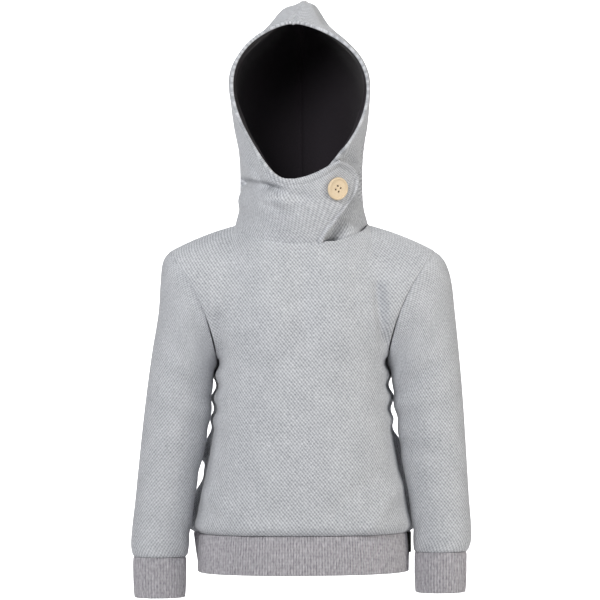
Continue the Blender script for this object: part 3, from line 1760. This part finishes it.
@dataclass(frozen=True)
class SideLabel:
    """A bare black tape, folded over and sewn into the wearer's left side seam."""

    root: float = 114.3
    drop: float = 1.0
    height: float = 22.0
    reach: float = 6.5
    leaf: float = 0.7
    lean: float = 0.9
    leaf_cloth: float = 0.35

    def build(self, finishes: Finishes) -> None:
        """Builds and dresses the label.

        Args:
            finishes: All of the finishes.
        """
        leaf, reach = self.leaf, self.reach
        bend = [math.pi / 2 * k / 6 for k in range(-6, 7)]
        cloth, back = self.leaf_cloth, 2 * leaf
        fold = ((reach + leaf * math.cos(a), leaf + leaf * math.sin(a)) for a in bend)
        outer = [(0.0, 0.0), *fold, (0.0, back)]
        inner = [(0.0, back - cloth), (reach, back - 0.45), (reach + 0.15, leaf), (reach, 0.45), (0.0, cloth)]
        loop = np.array(outer + inner)
        cosine, sine = math.cos(self.lean), math.sin(self.lean)
        loop = loop @ np.array([[cosine, sine], [-sine, cosine]])
        levels = np.linspace(0, self.height, 12)
        top = HEM_Z - self.drop - self.height
        rings = [stack(self.root + 0.3 + loop[:, 0], loop[:, 1] - leaf, top + level) for level in levels]
        count = len(loop)
        faces = grid_quads(np.arange(len(rings) * count).reshape(len(rings), count), True).tolist()
        faces += [list(range(count))[::-1], list(range((len(rings) - 1) * count, len(rings) * count))]
        thing = mesh_object("side_tape", np.concatenate(rings), faces)
        finishes.dress(thing, Slot.TAPE, "side_label")
        soften(thing, 40)


@dataclass(frozen=True)
class Studio:
    """Pale floor and backdrop, soft lights and the camera."""

    distance: float = 4.5
    aim_x: float = -0.0022
    aim_z: float = -0.075
    view_height: float = 0.66
    roll: float = 0.3
    floor_level: float = 0.95
    floor_reach: float = 6.0
    wall_start: float = 5.0
    wall_curve: float = 1.5

    def floor(self) -> None:
        """Makes the floor, which sweeps up behind into a backdrop."""
        start, curve, reach = self.wall_start, self.wall_curve, self.floor_reach
        bend = [math.pi / 2 * k / 16 for k in range(1, 17)]
        profile = [(-reach, 0.0), (start, 0.0),
                   *((start + curve * math.sin(a), curve - curve * math.cos(a)) for a in bend),
                   (start + curve, reach)]
        points = np.array([[x, y, z - self.floor_level] for y, z in profile for x in (-reach, reach)]) / MM
        faces = [[2 * i, 2 * i + 1, 2 * i + 3, 2 * i + 2] for i in range(len(profile) - 1)]
        sweep = mesh_object("floor", points, faces)
        shade = Shader("pale_floor", 0.9, Specular_IOR_Level=0.1, Emission_Strength=0.08)
        shade.paint((0.8, 0.8, 0.81, 1))
        shade.surface.inputs["Emission Color"].default_value = (1, 1, 1, 1)
        sweep.data.materials.append(shade.material)

    def light(self, name: str, place: tuple[float, float, float], aim: tuple[float, float, float],
              size: tuple[float, float], power: float,
              colour: tuple[float, float, float] = (1, 1, 1)) -> None:
        """Hangs one soft light.

        Args:
            name: The light's name.
            place: Where it hangs, in metres.
            aim: The point that it faces.
            size: Its width and height.
            power: Its power in watts.
            colour: The colour of its light.
        """
        data = bpy.data.lights.new(name, "AREA")
        data.shape, data.size, data.size_y, data.energy = "RECTANGLE", size[0], size[1], power
        data.color = colour
        lamp = bpy.data.objects.new(name, data)
        lamp.location = place
        lamp.rotation_euler = (Vector(aim) - Vector(place)).to_track_quat("-Z", "Y").to_euler()
        bpy.context.collection.objects.link(lamp)

    def build(self) -> None:
        """Sets the stage, the lights and the camera."""
        self.floor()
        self.light("key", (-0.6, -1.4, 0.7), (0, 0, 0.0), (0.6, 0.6), 19)
        self.light("fill", (1.5, -2.4, 0.9), (0, 0, -0.05), (1.2, 1.4), 11)
        self.light("top", (0.15, 0.5, 2.2), (0, 0, 0), (1.2, 0.8), 13)
        self.light("left_rim", (-1.9, -0.4, 0.4), (0, 0, -0.1), (0.6, 1.4), 9)
        self.light("right_rim", (1.8, -0.8, 0.4), (0, 0, -0.1), (0.6, 1.4), 20, (1, 0.96, 0.88))
        self.light("backdrop", (0, 3.9, 1.9), (0, 6.4, -0.2), (2.4, 0.6), 230)
        world = bpy.data.worlds.new("studio")
        world.use_nodes = True
        world.node_tree.nodes["Background"].inputs[0].default_value = (1, 1, 1, 1)
        world.node_tree.nodes["Background"].inputs[1].default_value = 0.08
        bpy.context.scene.world = world
        bpy.context.scene.view_settings.view_transform = "Standard"
        data = bpy.data.cameras.new("camera")
        data.angle = 2 * math.atan(self.view_height / 2 / self.distance)
        data.clip_end = 50
        camera = bpy.data.objects.new("camera", data)
        camera.location = (self.aim_x, -self.distance, self.aim_z)
        camera.rotation_euler = (math.pi / 2, math.radians(self.roll), 0)
        bpy.context.collection.objects.link(camera)
        bpy.context.scene.camera = camera


def main() -> None:
    """Builds the garment piece by piece and sets the studio."""
    logging.basicConfig(level=logging.INFO, format="%(name)s: %(message)s")
    finishes = Finishes()
    for part in (BodyPanels(), Sleeves(), Hood(), Ribbing(), Button(), SideLabel()):
        LOG.info("building %s", type(part).__name__)
        part.build(finishes)
    Studio().build()


if __name__ == "__main__":
    main()
